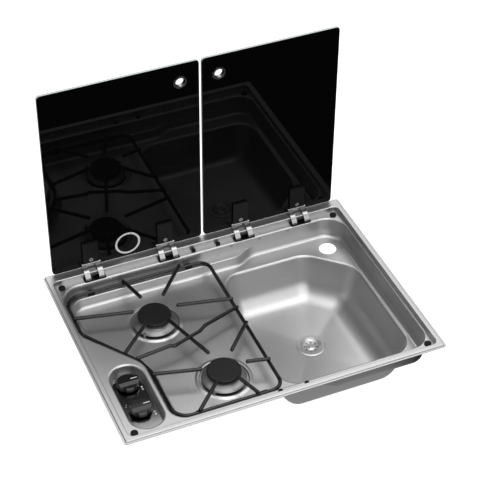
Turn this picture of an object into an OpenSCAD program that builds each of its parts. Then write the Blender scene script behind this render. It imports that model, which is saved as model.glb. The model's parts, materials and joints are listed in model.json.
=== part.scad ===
// Two-burner hob and sink combination with a two-part glass lid.
// Frame: origin at the centre of the rim, on the plane where the rim seal meets the worktop.
// X runs along the front edge to the right, Y to the back (lid side), Z up. Lids stand open.
// Sections are drawn with the flat top of the rim at z = 0 and lifted by rim_height at the end.

/* [Rim and sheet] */
// Overall width
rim_w = 600; // [500:1:800]
// Overall depth, front to back
rim_d = 445; // [380:1:520]
// Corner radius of the rim
rim_r = 6; // [4:0.5:20]
// Sheet thickness of the pressed top
sheet = 0.9; // [0.6:0.3:1.5]
// Width of the low outer flange
flange_w = 4.5; // [3:0.5:10]
// Height of the step from the flange to the rim top
rim_step = 2.5; // [1:0.5:5]
// Seal thickness
seal_t = 1; // [0.5:0.1:3]
// Seal width
seal_w = 4.5; // [3:0.5:6]

/* [Lid recess] */
// Half width of the recess
recess_x = 287.5; // [240:0.5:380]
// Front wall of the recess
recess_y0 = -210; // [-240:1:-170]
// Back wall of the recess
recess_y1 = 200; // [160:1:230]
// Corner radius of the recess
recess_r = 10; // [5:1:30]
// Depth of the recess floor below the rim
recess_depth = 12; // [10:0.5:20]
// Radius where the rim rolls into the recess
recess_lip = 1.6; // [1.2:0.2:4]

/* [Tray] */
// Right wall of the tray
tray_x1 = 283.2; // [230:0.1:380]
// Back wall of the tray
tray_y1 = 187.5; // [150:0.5:220]
// Front wall of the tray
tray_y0 = -194; // [-220:0.5:-150]
// Left wall at the back
tray_x0 = -281; // [-380:0.5:-230]
// Left wall beside the knobs
tray_xk = -201.2; // [-240:0.1:-150]
// Where the slanted wall starts at the back
slant_y1 = 60.4; // [20:0.1:120]
// Radius where the recess floor rolls into the tray
tray_lip = 3.6; // [3:0.6:6]
// Depth of the ledge round the hob
ledge_depth = 33.5; // [25:0.5:45]
// Width of the ledge
ledge_w = 16.2; // [12:0.6:24]
// Depth of the tray floor
tray_depth = 54.8; // [45:0.1:80]
// Fillet at the foot of the tray wall
foot_r = 7.2; // [4.8:0.6:10.2]
// Start of the ledge's run-out toward the sink
runout_x0 = 59.9; // [40:0.1:80]

/* [Bowl] */
// Left and right edges of the bowl
bowl_x0 = 16.6; // [10:0.1:60]
bowl_x1 = 275.6; // [200:0.1:278]
// Front and back edges of the bowl
bowl_y0 = -162; // [-180:0.1:-100]
bowl_y1 = 154.2; // [100:0.1:175]
// Where the corner cut starts on the back edge
cut_x = 198.6; // [150:0.1:240]
// Where the corner cut ends on the right edge
cut_y = 83.8; // [40:0.1:120]
// Plan radius of the bowl corners
bowl_r = 43; // [38:1:70]
// Plan radius at the corner cut
cut_r = 55; // [45:1:80]
// Radius where the tray floor rolls into the bowl
bowl_lip = 4; // [3:0.5:8]
// Depth of the bend in the bowl wall
bend_depth = 96.7; // [70:0.1:120]
// Depth of the foot of the bowl wall
bowl_depth = 135; // [110:1:200]
// Inward reach of the wall at the bend
bend_in = 10.5; // [2:0.5:20]
// Inward reach of the wall at its foot
bowl_in = 33; // [10:0.5:34]
// Centre of the drain
drain_x = 143.8; // [60:0.1:240]
drain_y = -2.7; // [-100:0.1:100]
// Drop of the drain below the foot of the bowl's sides
drain_drop = 6.7; // [4:0.1:12]

/* [Tap hole] */
// Centre of the tap hole
tap_x = 246.7; // [200:0.1:270]
tap_y = 149.1; // [120:0.1:170]
// Diameter of the tap hole
tap_d = 33.5; // [28:0.5:38]

/* [Hinges] */
// Height of the pin below the rim top
pin_z = -14.5; // [-20:0.1:-10]
// Pin position from the centre, to the back
pin_y = 209.3; // [205:0.1:213]
// Pin diameter
pin_d = 5; // [4:0.5:6]
// Bore clearance on the pin, all round
pin_gap = 0.05; // [0.01:0.01:0.1]
// Inner and outer radius of the curved arms
arm_r0 = 16.9; // [16:0.1:18]
arm_r1 = 19.4; // [18.5:0.1:19.6]
// Width of one arm
arm_w = 10; // [6:1:12]
// Half spacing of the two arms
arm_x = 13; // [9:1:16]

/* [Lids] */
// Front face of the standing lids
lid_y = 216.3; // [215:0.1:218]
// Glass thickness
glass_t = 5; // [4:0.5:6]
// Bottom and top of the standing lids, from the rim top
lid_z0 = 2.3; // [1.5:0.1:5]
lid_z1 = 400.8; // [380:0.1:402]
// Left lid edges
left_x0 = -281.3; // [-285:0.1:-200]
left_x1 = 11.9; // [0:0.1:14]
// Right lid edges
right_x0 = 17; // [15:0.1:60]
right_x1 = 282.3; // [200:0.1:285]
// Corner radius of the glass
lid_r = 7; // [3:0.5:15]
// Finger hole height
finger_z = 363; // [300:1:380]
// Finger hole clear diameter
finger_d = 17; // [14:1:22]

/* [Burners] */
// Rear burner centre
rear_x = -133.9; // [-180:0.1:-100]
rear_y = 82.9; // [50:0.1:110]
// Front burner centre
front_x = -71.6; // [-120:0.1:-50]
front_y = -96.7; // [-120:0.1:-70]
// Cap diameter
cap_d = 62; // [50:1:90]
// Cap top, from the rim top
cap_z = -32; // [-40:0.5:-28]
// Diameter of the pressed dish round the burner
dish_d = 105.5; // [95:0.5:130]
// Depth of that dish
dish_depth = 2.5; // [1:0.5:4]
// Diameter of the flared base
base_d = 81; // [70:1:92]
// Number of flame slots
flame_slots = 32; // [16:4:48]

/* [Pan support] */
// Wire diameter
wire_d = 6; // [5:0.5:8]
// Height of the frame wire
frame_z = -28.6; // [-30:0.1:-25]
// Height of the finger wires
finger_top_z = -22.55; // [-24:0.05:-20]

/* [Knobs] */
// Knob centres
knob_x = -241.5; // [-250:0.5:-235]
knob_rear_y = -73; // [-90:1:-60]
knob_front_y = -136; // [-150:1:-120]
// Knob diameter
knob_d = 39.5; // [30:0.5:45]
// Knob top, from the rim top
knob_top = -12.8; // [-16:0.1:-12.5]
// Push travel
knob_push = 3; // [1:0.5:4]
// Knob well centre, length and width at the rim of the well
well_y = -116.4; // [-120:0.1:-110]
well_x = -240.85; // [-245:0.05:-235]
well_l = 160.8; // [140:0.1:170]
well_w = 67.5; // [60:0.5:70]
// Depth of the knob panel
panel_depth = 29; // [25:0.5:35]

/* [Waste] */
// Drain flange diameter
drain_d = 54; // [50:1:70]
// Strainer diameter
strainer_d = 39.5; // [35:0.5:45]
// Hose tail diameter
tail_d = 28.5; // [25:0.5:40]

/* [Hidden] */
$fn = 72;
eps = 0.01;
rim_height = seal_t + sheet + rim_step;
deck_z = -recess_depth;
floor_z = -tray_depth;
ledge_z = -ledge_depth;
panel_z = -panel_depth;
drain_depth = bowl_depth + drain_drop;
steel = [0.72, 0.73, 0.74];
chrome = [0.85, 0.86, 0.88];
black = [0.08, 0.08, 0.09];
rubber = [0.12, 0.12, 0.12];
glass_c = [0.05, 0.05, 0.06];
alu = [0.7, 0.7, 0.7];
brass = [0.78, 0.62, 0.3];
hinge_xs_left = [-208.3, -62.3];
hinge_xs_right = [90.6, 208];
hinge_xs = concat(hinge_xs_left, hinge_xs_right);
rivet_dx = 29;
rivet_z = -18;
rivet_r = 1.6;

// Slanted walls run in a 3-4-5 direction, so their tangent points are round numbers.
slant_s = 0.6;
slant_c = 0.8;
slant_y0 = slant_y1 - (tray_xk - tray_x0) * slant_c / slant_s;

// Plan outlines, counter-clockwise, each point with its corner radius.
path_rim = [[rim_w / 2, -rim_d / 2, rim_r], [rim_w / 2, rim_d / 2, rim_r],
  [-rim_w / 2, rim_d / 2, rim_r], [-rim_w / 2, -rim_d / 2, rim_r]];
path_recess = [[recess_x, recess_y0, recess_r], [recess_x, recess_y1, recess_r],
  [-recess_x, recess_y1, recess_r], [-recess_x, recess_y0, recess_r]];
path_tray = [[tray_x1, tray_y0, 33], [tray_x1, tray_y1, 39], [tray_x0, tray_y1, 40],
  [tray_x0, slant_y1, 39], [tray_xk, slant_y0, 51], [tray_xk, tray_y0, 30]];
hob_in = inset(path_tray, ledge_w);
run_t = ledge_w / (2 * slant_s);
run_r = 3 * (run_t - 0.5);
runout_x1 = runout_x0 + 3 * ledge_w;
path_lower = [[tray_x1, tray_y0, 33], [tray_x1, tray_y1, 39],
  [runout_x1 - run_t, tray_y1, run_r], [runout_x0 + run_t, tray_y1 - ledge_w, run_r],
  hob_in[2], hob_in[3], hob_in[4], hob_in[5],
  [runout_x0 + run_t, tray_y0 + ledge_w, run_r], [runout_x1 - run_t, tray_y0, run_r]];
path_bowl_edge = [[bowl_x1, bowl_y0, bowl_r], [bowl_x1, cut_y, cut_r], [cut_x, bowl_y1, cut_r],
  [bowl_x0, bowl_y1, bowl_r], [bowl_x0, bowl_y0, bowl_r]];
path_bowl = inset(path_bowl_edge, bowl_lip);
well_edge = [[well_x + well_w / 2, well_y - well_l / 2, well_w / 2 - 0.1],
  [well_x + well_w / 2, well_y + well_l / 2, well_w / 2 - 0.1],
  [well_x - well_w / 2, well_y + well_l / 2, well_w / 2 - 0.1],
  [well_x - well_w / 2, well_y - well_l / 2, well_w / 2 - 0.1]];
path_well = inset(well_edge, tray_lip);

function xy(p) = [p[0], p[1]];
function unit(v) = v / norm(v);
function left(v) = [-v[1], v[0]];
function cross2(a, b) = a[0] * b[1] - a[1] * b[0];
function at_i(p, i) = p[(i + len(p)) % len(p)];
function dir_i(p, i) = unit(xy(at_i(p, i + 1)) - xy(at_i(p, i)));
function turn_i(p, i) = atan2(cross2(dir_i(p, i - 1), dir_i(p, i)), dir_i(p, i - 1) * dir_i(p, i));
function tan_i(p, i) = at_i(p, i)[2] * tan(abs(turn_i(p, i)) / 2);
function side_i(p, i) = turn_i(p, i) > 0 ? 1 : -1;
function start_i(p, i) = xy(at_i(p, i)) - dir_i(p, i - 1) * tan_i(p, i);
function end_i(p, i) = xy(at_i(p, i)) + dir_i(p, i) * tan_i(p, i);
function centre_i(p, i) = start_i(p, i) + side_i(p, i) * left(dir_i(p, i - 1)) * at_i(p, i)[2];
function heading(v) = atan2(v[1], v[0]);
function inset(p, d) = [for (i = [0:len(p) - 1])
  let (n1 = left(dir_i(p, i - 1)), n2 = left(dir_i(p, i)),
    q = xy(p[i]) + d * (n1 + n2) / (1 + n1 * n2))
  [q[0], q[1], p[i][2] - side_i(p, i) * d]];

// Rounded outline as an exact solid between two heights.
module slab(p, z0, z1) {
  h = z1 - z0;
  translate([0, 0, z0]) difference() {
    union() {
      linear_extrude(h) polygon([for (i = [0:len(p) - 1])
        for (q = side_i(p, i) > 0 ? [start_i(p, i), centre_i(p, i), end_i(p, i)]
          : [start_i(p, i), end_i(p, i)]) q]);
      for (i = [0:len(p) - 1]) if (side_i(p, i) > 0) pie(p, i, h);
    }
    for (i = [0:len(p) - 1]) if (side_i(p, i) < 0) translate([0, 0, -1]) pie(p, i, h + 2);
  }
}

function square_turn(p, i) = abs(abs(turn_i(p, i)) - 90) < eps;

// Prism over the sector between a corner's two tangent points.
module wedge(p, i, k, z0, h) {
  c = centre_i(p, i);
  translate([0, 0, z0]) linear_extrude(h) polygon([c, c + k * (start_i(p, i) - c),
    c + k * (xy(at_i(p, i)) - c), c + k * (end_i(p, i) - c)]);
}

module pie(p, i, h) {
  c = centre_i(p, i);
  if (square_turn(p, i)) translate([c[0], c[1], 0])
    rotate([0, 0, heading(dir_i(p, i - 1)) + (turn_i(p, i) > 0 ? -90 : 0)])
      rotate_extrude(angle = 90) square([p[i][2], h]);
  else intersection() {
    translate([c[0], c[1], 0]) cylinder(r = p[i][2], h = h);
    wedge(p, i, 1.5, -1, h + 2);
  }
}

// Profile swept along a rounded outline. Profile x points inward, y points up.
module run(p, i) {
  s = end_i(p, i);
  d = dir_i(p, i);
  length = norm(start_i(p, i + 1) - s);
  if (length > eps) translate([s[0], s[1], 0]) rotate([0, 0, heading(d)])
    rotate([90, 0, 90]) linear_extrude(length) children();
}

module bend(p, i) {
  c = centre_i(p, i);
  a = turn_i(p, i);
  r = at_i(p, i)[2];
  if (square_turn(p, i)) translate([c[0], c[1], 0])
    rotate([0, 0, heading(dir_i(p, i - 1)) + (a > 0 ? -90 : 0)])
      rotate_extrude(angle = 90) translate([r, 0]) turned(a) children();
  else intersection() {
    translate([c[0], c[1], 0]) rotate_extrude() translate([r, 0]) turned(a) children();
    wedge(p, i, 3, -200, 300);
  }
}

module turned(a) {
  if (a > 0) mirror([1, 0]) children();
  else children();
}

module sweep(p, first = 0, last = -1) {
  n = last < 0 ? len(p) - 1 : last;
  for (i = [first:n]) {
    bend(p, i) children();
    if (last < 0 || i < n) run(p, i) children();
  }
}

// Quarter ring of a sheet bend, in the quadrant given by the two signs.
module quarter(x, y, r0, r1, sx, sy) {
  translate([x, y]) intersection() {
    difference() {
      circle(r1);
      if (r0 > 0) circle(r0);
    }
    translate([sx > 0 ? 0 : -r1, sy > 0 ? 0 : -r1]) square(r1);
  }
}

module ring(r0, r1, z0, z1) {
  translate([0, 0, z0]) difference() {
    cylinder(r = r1, h = z1 - z0);
    translate([0, 0, -1]) cylinder(r = r0, h = z1 - z0 + 2);
  }
}

module disc(r, z0, z1) {
  translate([0, 0, z0]) cylinder(r = r, h = z1 - z0);
}

module at(x, y) {
  translate([x, y, 0]) children();
}

module box(x0, x1, y0, y1, z0, z1) {
  translate([x0, y0, z0]) cube([x1 - x0, y1 - y0, z1 - z0]);
}

// Cylinder along X centred on x = 0.
module bar_x(r, half, y, z) {
  translate([-half, y, z]) rotate([0, 90, 0]) cylinder(r = r, h = 2 * half);
}

module ring_plate(p_out, p_in, z0, z1) {
  difference() {
    slab(p_out, z0, z1);
    slab(p_in, z0 - 1, z1 + 1);
  }
}

// Profiles of the pressed top.
module rim_profile() {
  translate([0, -rim_step - sheet]) square([flange_w, sheet]);
  translate([flange_w - sheet, -rim_step - sheet]) square([sheet, rim_step + sheet - 1.5]);
  translate([flange_w - sheet, -rim_step - sheet]) square([sheet, sheet]);
  quarter(flange_w + 0.5, -1.5, 1.5 - sheet, 1.5, -1, 1);
  translate([flange_w + 0.5, -sheet]) square([0.5, sheet]);
}

module recess_profile() {
  quarter(-recess_lip, -recess_lip, recess_lip - sheet, recess_lip, 1, 1);
  translate([-sheet, deck_z]) square([sheet, recess_depth - recess_lip]);
  translate([-sheet, deck_z - sheet]) square([sheet, sheet]);
}

module tray_upper_profile() {
  quarter(-tray_lip, deck_z - tray_lip, tray_lip - sheet, tray_lip, 1, 1);
  translate([-sheet, ledge_z - sheet]) square([sheet, deck_z - tray_lip - ledge_z + sheet]);
}

seam_z = ledge_z + 3.5;
edge_r = 2.4;
module lower_edge_profile() {
  e = edge_r;
  translate([-ledge_w - 0.6, ledge_z - sheet]) square([ledge_w + 0.6 - e, sheet]);
  quarter(-e, ledge_z - e, e - sheet, e, 1, 1);
  translate([-sheet, floor_z + foot_r]) square([sheet, ledge_z - e - floor_z - foot_r]);
  quarter(foot_r, floor_z + foot_r, foot_r, foot_r + sheet, -1, -1);
}

module lower_wall_profile() {
  translate([-sheet, floor_z + foot_r]) square([sheet, ledge_z - sheet - floor_z - foot_r]);
  quarter(foot_r, floor_z + foot_r, foot_r, foot_r + sheet, -1, -1);
}

module well_profile() {
  quarter(-tray_lip, deck_z - tray_lip, tray_lip - sheet, tray_lip, 1, 1);
  translate([-sheet, panel_z]) square([sheet, deck_z - tray_lip - panel_z]);
}

// Bowl, lofted between rounded outlines from its lip to the drain.
bowl_arc = 8;
bowl_side = 2;
wall_a = atan2(bend_in - 0.6, bend_depth - tray_depth - bowl_lip);
slope_a = atan2(bowl_in - bend_in, bowl_depth - bend_depth);
blend_r = 45;
toe_r = 12;
waste_bore = 24.5;
knee = [bend_in, -bend_depth];
toe = [bowl_in, -bowl_depth];
function arc(c, r, a0, a1, n) = [for (k = [0:n])
  c + r * [cos(a0 + (a1 - a0) * k / n), sin(a0 + (a1 - a0) * k / n)]];
function along(a) = [sin(a), -cos(a)];
function inward(a) = [cos(a), sin(a)];

// Section of the bowl skin, [inward, height]; t is the distance below the visible side.
function bowl_line(t) = concat(
  arc([-bowl_lip, floor_z - bowl_lip], bowl_lip - t, 90, wall_a, 4),
  arc(knee - blend_r * tan((slope_a - wall_a) / 2) * along(wall_a) + blend_r * inward(wall_a),
    blend_r + t, 180 + wall_a, 180 + slope_a, 3),
  arc(toe - toe_r * tan((90 - slope_a) / 2) * along(slope_a) + toe_r * inward(slope_a),
    toe_r + t, 180 + slope_a, 270, 4));

function corner_pts(p, i, n) = [for (k = [0:n])
  let (c = centre_i(p, i), v = start_i(p, i) - c, a = turn_i(p, i) * k / n)
  c + [v[0] * cos(a) - v[1] * sin(a), v[0] * sin(a) + v[1] * cos(a)]];
function side_pts(p, i, m) = [for (k = [1:m])
  end_i(p, i) + (start_i(p, i + 1) - end_i(p, i)) * k / (m + 1)];
function outline(p, n, m) = [for (i = [0:len(p) - 1])
  each concat(corner_pts(p, i, n), side_pts(p, i, m))];
function lift(pts, z) = [for (q = pts) [q[0], q[1], z]];
drain_c = [drain_x, drain_y];
function drain_angle(i) = heading(xy(at_i(path_bowl, i)) - drain_c);
function step_up(a, b) = b < a ? b + 360 : b;
function drain_ring(z) = [for (i = [0:len(path_bowl) - 1])
  let (a = drain_angle(i), b = step_up(a, drain_angle(i + 1)))
  for (k = [0:bowl_arc + bowl_side])
    let (w = k <= bowl_arc ? a + (k / bowl_arc - 0.5) * 12
      : a + 6 + (b - a - 12) * (k - bowl_arc) / (bowl_side + 1))
    [drain_x + waste_bore * cos(w), drain_y + waste_bore * sin(w), z]];
function bowl_rings(t) = concat([for (q = bowl_line(t))
    lift(outline(inset(path_bowl, q[0]), bowl_arc, bowl_side), q[1])],
  [drain_ring(-drain_depth - t)]);
bowl_lip_outline = outline(path_bowl_edge, bowl_arc, bowl_side);

module sink_bowl() {
  top = bowl_rings(0);
  under = bowl_rings(sheet);
  rings = concat(top, [for (k = [len(under) - 1:-1:0]) under[k]]);
  n = len(top[0]);
  m = len(rings);
  polyhedron(points = [for (g = rings) each g],
    faces = [for (k = [0:m - 1]) for (j = [0:n - 1])
      let (a = k * n + j, b = k * n + (j + 1) % n,
        c = ((k + 1) % m) * n + (j + 1) % n, d = ((k + 1) % m) * n + j)
      each [[a, b, c], [a, c, d]]]);
}

base_hole_r = 34.5;
couple_r = 2.5;
couple_off = [-31, -31];
module dish_cut(x, y) {
  at(x, y) disc(dish_d / 2, floor_z - 3, floor_z + 1);
}

module dish(x, y) {
  r = dish_d / 2;
  at(x, y) difference() {
    rotate_extrude() {
      translate([r - 2.8, floor_z - sheet]) square([3.4, sheet]);
      translate([r - 2.8, floor_z - dish_depth - sheet]) square([sheet, dish_depth + sheet]);
      translate([base_hole_r, floor_z - dish_depth - sheet])
        square([r - 2.8 - base_hole_r, sheet]);
    }
    translate([couple_off[0], couple_off[1], floor_z - 10]) cylinder(r = couple_r, h = 20);
  }
}

module hinge_slot(x) {
  box(x - 19.6, x + 19.6, 188.8, recess_y1 + sheet + 1, deck_z - 4, deck_z + 3);
}

// The top and the tray under it meet edge to edge half way down the tray's wall.
module sink_top() {
  difference() {
    pressed_sheet();
    translate([-rim_w, -rim_d, seam_z - 100]) cube([2 * rim_w, 2 * rim_d, 100]);
  }
}

module hob_tray() {
  intersection() {
    pressed_sheet();
    translate([-rim_w, -rim_d, seam_z - 100]) cube([2 * rim_w, 2 * rim_d, 100]);
  }
}

module pressed_sheet() {
  difference() {
    union() {
      sweep(path_rim) rim_profile();
      ring_plate(inset(path_rim, flange_w + 1), inset(path_recess, -recess_lip), -sheet, 0);
      sweep(path_recess) recess_profile();
      difference() {
        slab(path_recess, deck_z - sheet, deck_z);
        slab(inset(path_tray, -tray_lip), deck_z - 2, deck_z + 1);
        slab(well_edge, deck_z - 2, deck_z + 1);
      }
      sweep(path_well) well_profile();
      sweep(path_tray) tray_upper_profile();
      intersection() {
        hob_lower();
        slab(inset(path_tray, -0.45), floor_z - 2, ledge_z + 1);
      }
      run(path_lower, 9) lower_wall_profile();
      bend(path_lower, 0) lower_wall_profile();
      run(path_lower, 0) lower_wall_profile();
      bend(path_lower, 1) lower_wall_profile();
      run(path_lower, 1) lower_wall_profile();
      difference() {
        slab(inset(path_lower, foot_r), floor_z - sheet, floor_z);
        translate([0, 0, floor_z - 2]) linear_extrude(4) polygon(bowl_lip_outline);
        dish_cut(rear_x, rear_y);
        dish_cut(front_x, front_y);
      }
      dish(rear_x, rear_y);
      dish(front_x, front_y);
    }
    at(tap_x, tap_y) disc(tap_d / 2, floor_z - 3, floor_z + 3);
    for (x = hinge_xs) {
      hinge_slot(x);
      for (s = [-1, 1]) translate([x + s * rivet_dx, tray_y1 - 3, rivet_z])
        rotate([-90, 0, 0]) cylinder(r = rivet_r, h = 8);
    }
  }
}

module hob_lower() {
  bend(path_lower, 2) lower_edge_profile();
  for (i = [3:8]) {
    run(path_lower, i - 1) lower_edge_profile();
    bend(path_lower, i) lower_edge_profile();
  }
  run(path_lower, 8) lower_edge_profile();
  bend(path_lower, 9) lower_edge_profile();
}

module rim_seal() {
  ring_plate(inset(path_rim, 0.8), inset(path_rim, 0.8 + seal_w), -rim_height, -rim_height + seal_t);
}

// Lids.
module plate_xz(x0, x1, z0, z1, r, y, t) {
  translate([0, y + t, 0]) rotate([90, 0, 0])
    slab([[x1, z0, r], [x1, z1, r], [x0, z1, r], [x0, z0, r]], 0, t);
}

module hole_y(x, z, r, y, t) {
  translate([x, y - 1, z]) rotate([-90, 0, 0]) cylinder(r = r, h = t + 2);
}

finger_left_x = -23.9;
finger_right_x = 49.1;
glass_hole_r = finger_d / 2 + 2;
screw_z = 20;
screw_r = 2.5;

module glass(x0, x1, fx, hx) {
  difference() {
    plate_xz(x0, x1, lid_z0, lid_z1, lid_r, lid_y, glass_t);
    hole_y(fx, finger_z, glass_hole_r, lid_y, glass_t);
    for (x = hx) hole_y(x, screw_z, screw_r, lid_y, glass_t);
  }
}

module grommet(fx) {
  flange = 1.2;
  translate([fx, lid_y, finger_z]) rotate([-90, 0, 0]) {
    ring(finger_d / 2, glass_hole_r, 0, glass_t);
    ring(finger_d / 2, 12.5, -flange, 0);
    ring(finger_d / 2, 12.5, glass_t, glass_t + flange);
  }
}

cover_z0 = 12.5;
cover_z1 = 59;
cover_y = lid_y - 4.3;
bracket_t = 2.4;
bracket_y = lid_y - bracket_t;

// One pair of curved arms with bracket, open pose, centred on x = 0.
module arm_pair() {
  difference() {
    union() {
      for (s = [-1, 1]) translate([s * arm_x - arm_w / 2, 0, 0]) one_arm();
      box(-arm_x - 2, arm_x + 2, bracket_y, lid_y, lid_z0 + 1, 7.5);
      box(-12.5, 12.5, bracket_y, lid_y, 7.5, 50);
      bar_x(2, arm_x - arm_w / 2 + 1, bracket_y, 9.8);
    }
    translate([-30, pin_y, pin_z]) rotate([0, 90, 0]) cylinder(r = pin_d / 2 + pin_gap, h = 60);
    hole_y(0, screw_z, screw_r, bracket_y, bracket_t);
  }
}

module one_arm() {
  hub_r = 4.2;
  a0 = 72;
  translate([0, pin_y, pin_z]) rotate([90, 0, 90]) {
    rotate([0, 0, a0]) rotate_extrude_arm(181 - a0);
    translate([-arm_r1 + 0.8, -1.4, 0.5]) cube([arm_r1 - 0.8, 2.8, arm_w - 1]);
    cylinder(r = hub_r, h = arm_w);
  }
  translate([0.4, bracket_y - 0.6, lid_z0 - 0.2]) cube([arm_w - 0.8, bracket_t + 0.6, 9.7]);
  translate([0, bracket_y, 9.8]) rotate([0, 90, 0]) cylinder(r = 2.3, h = arm_w);
}

module rotate_extrude_arm(a) {
  rotate_extrude(angle = a) translate([arm_r0, 0]) square([arm_r1 - arm_r0, arm_w]);
}

module hinge_cover() {
  difference() {
    box(-15, 15, cover_y, lid_y, cover_z0, cover_z1);
    box(-12.7, 12.7, bracket_y - 0.2, lid_y + 1, cover_z0 - 1, 51);
    hole_y(0, screw_z, screw_r, cover_y, 5);
    translate([-20, cover_y, 53]) rotate([30, 0, 0]) translate([0, -10, -1]) cube([40, 10, 20]);
  }
}

module hinge_screw() {
  translate([0, 0, screw_z]) rotate([-90, 0, 0]) {
    difference() {
      union() {
        translate([0, 0, cover_y - 1.2]) cylinder(r = 4, h = 1.2);
        translate([0, 0, cover_y - 1.2]) cylinder(r = screw_r, h = lid_y + glass_t - cover_y + 1.2);
        translate([0, 0, lid_y + glass_t]) cylinder(r = 6, h = 1.6);
      }
      translate([0, 0, cover_y - 2]) cylinder(r = 1.6, h = 2);
    }
  }
}

module at_hinges(xs) {
  for (x = xs) translate([x, 0, 0]) children();
}

module hinge_insert() {
  y0 = 189.2;
  difference() {
    union() {
      box(-21, 21, recess_y1 - 10.6, recess_y1, deck_z, deck_z + 1.4);
      box(-19.4, 19.4, y0 - 0.2, recess_y1, deck_z - 4.2, deck_z + 1.4);
    }
    box(-18.4, 18.4, y0 + 0.4, recess_y1 - 0.8, deck_z - 6, deck_z + 3);
    box(-18.4, 18.4, recess_y1 - 2, recess_y1 + 2, deck_z - 6, deck_z - 0.6);
  }
}

box_y = 214;
module hinge_box() {
  in_x = 20.4;
  bz = -36;
  difference() {
    union() {
      for (s = [0, 1]) mirror([s, 0, 0]) {
        box(in_x, in_x + 1, tray_y1 + 1, box_y + 1, bz - 1, deck_z - 1.2);
        box(in_x, in_x + 1, 201.6, box_y + 1, deck_z - 2, -6);
        box(in_x, 34, tray_y1 + 1, tray_y1 + 2, bz + 4, deck_z - 4.5);
      }
      box(-in_x - 1, in_x + 1, box_y, box_y + 1, bz - 1, -6);
      box(-in_x - 1, in_x + 1, tray_y1 + 1, box_y + 1, bz - 1, bz);
    }
    translate([-30, pin_y, pin_z]) rotate([0, 90, 0]) cylinder(r = pin_d / 2, h = 60);
    for (s = [-1, 1]) translate([s * rivet_dx, tray_y1 - 3, rivet_z])
      rotate([-90, 0, 0]) cylinder(r = rivet_r, h = 8);
  }
}

module hinge_pin() {
  bar_x(pin_d / 2, 23, pin_y, pin_z);
}

module rivet() {
  translate([0, tray_y1, rivet_z]) rotate([-90, 0, 0]) {
    difference() {
      translate([0, 0, 2]) sphere(r = 3.4);
      translate([-5, -5, 0]) cube([10, 10, 10]);
    }
    cylinder(r = rivet_r, h = 2.8);
    translate([0, 0, 2]) cylinder(r = 2.6, h = 0.9);
  }
}

module bumper(r, h) {
  rotate_extrude() {
    square([r, h - 1]);
    square([r - 1, h]);
    quarter(r - 1, h - 1, 0, 1, 1, 1);
  }
}

corner_bumper_at = [[275.6, 189.7], [-273.3, 190.6], [-273.9, -195.9], [276.1, -195.9]];
edge_bumper_at = [[-12.3, 195.4], [37.4, 195.4], [-10.7, -202], [38.8, -202]];

// Pan support.
wire_r = wire_d / 2;
frame_path = [[6.9, -178.8, 22], [6.9, 178.3, 22], [-274.4, 178.3, 28], [-274.4, 78.1, 20],
  [-201.3, -26, 20], [-192.3, -58, 20], [-192.3, -178.8, 28]];
end_round = 2.3;
on_front = -178.8;
on_back = 178.3;
// Straight wire bites this far into a bend, whose section is swollen by a hair.
bite = 0.5;
swell = 0.03;
fingers = [
  [[-274.4, 116.1], [-173.2, 93.1]],
  [[-159.5, on_back], [-145.3, 126.1]],
  [[-49.4, on_back], [-103.4, 116.1]],
  [[6.9, 57], [-89.4, 78.2]],
  [[-219.2, -0.5], [-159.3, 56.2]],
  [[-192.3, -69.2], [-113.4, -89.5]],
  [[6.9, -11.5], [-43.5, -65.6]],
  [[6.9, -111.7], [-29.5, -103.5]],
  [[-149, on_front], [-99.4, -129.4]],
  [[-42.5, on_front], [-59.5, -133.4]]];
// Two short fingers butt on either side of the long cross wire.
cross_wire = [[-204.2, -22, 0], [-139.3, -14.7, 5.4], [-134.3, -18.6, 5.4], [-77.4, 0.3, 20],
  [-63.5, 10.3, 20], [6.9, 32, 0]];
cross_at = [-101.1, -7.6];
butt_gap = 0.05;
short_fingers = [[-119.4, 48.2], [-85.4, -55.6]];

module rod(a, b, z, g0, g1) {
  d = unit(b - a);
  translate([a[0] + g0 * d[0], a[1] + g0 * d[1], z]) rotate([0, 0, heading(d)])
    rotate([90, 0, 90]) linear_extrude(norm(b - a) - g0 - g1) circle(wire_r);
}

// Straight wire from a to b: rounded at b, and at a too when both is set; g is left off at a.
module round_rod(a, b, z, g, both) {
  d = unit(b - a);
  h = norm(b - a) - g;
  translate([a[0] + g * d[0], a[1] + g * d[1], z]) rotate([0, 0, heading(d)])
    rotate([0, 90, 0]) rotate_extrude() {
      square([wire_r - end_round, h]);
      translate([0, both ? end_round : 0]) square([wire_r, h - end_round * (both ? 2 : 1)]);
      quarter(wire_r - end_round, h - end_round, 0, end_round, 1, 1);
      if (both) quarter(wire_r - end_round, end_round, 0, end_round, 1, -1);
    }
}

// One bend of a wire; its section is swollen a little so the straight wire ends inside it.
module wire_bend(p, i, z) {
  bend(p, i) translate([0, z]) circle(wire_r + swell);
}

// Wire that lies across the frame, bent at its inner points; its ends stand a wire radius past.
function past(a, b) = xy(b) + wire_r * unit(xy(b) - xy(a));
module finger(f, z = finger_top_z) {
  n = len(f) - 1;
  if (n == 1) round_rod(past(f[1], f[0]), past(f[0], f[1]), z, 0, true);
  else {
    round_rod(start_i(f, 1), past(f[1], f[0]), z, -bite, false);
    round_rod(end_i(f, n - 1), past(f[n - 1], f[n]), z, -bite, false);
    if (n > 2) for (k = [1:n - 2]) rod(end_i(f, k), start_i(f, k + 1), z, -bite, -bite);
    for (k = [1:n - 1]) wire_bend(f, k, z);
  }
}

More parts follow.
